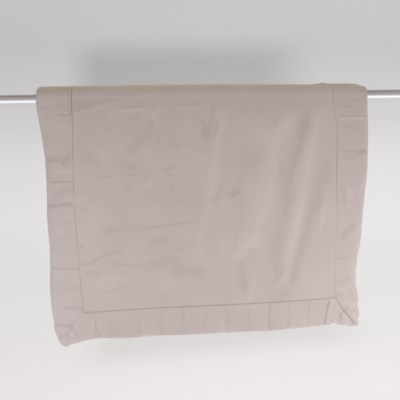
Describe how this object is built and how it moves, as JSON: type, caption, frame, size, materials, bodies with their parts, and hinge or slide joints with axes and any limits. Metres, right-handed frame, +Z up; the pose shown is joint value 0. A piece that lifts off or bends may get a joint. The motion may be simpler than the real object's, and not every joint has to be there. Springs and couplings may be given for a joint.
{
  "type": "baby blanket over a rail",
  "caption": "Lightly wadded baby blanket with a plain centre and mitred, channel-stitched border strips, draped over a plain round rail.",
  "frame": {"origin": "centre of the rail's left end face", "axes": "+X along the rail, -Y towards the blanket's longer, front side, +Z up"},
  "size_m": [1, 0.0754, 0.6174],
  "materials": {
    "panel_cloth": "soft brushed weave",
    "border_cloth": "soft brushed weave, channel-stitched",
    "rail_metal": "polished"
  },
  "bodies": {
    "root": {"rail": "rail_metal", "centre_panel": "panel_cloth", "border_left": "border_cloth", "border_right": "border_cloth", "border_front": "border_cloth", "border_back": "border_cloth"}
  },
  "joints": []
}
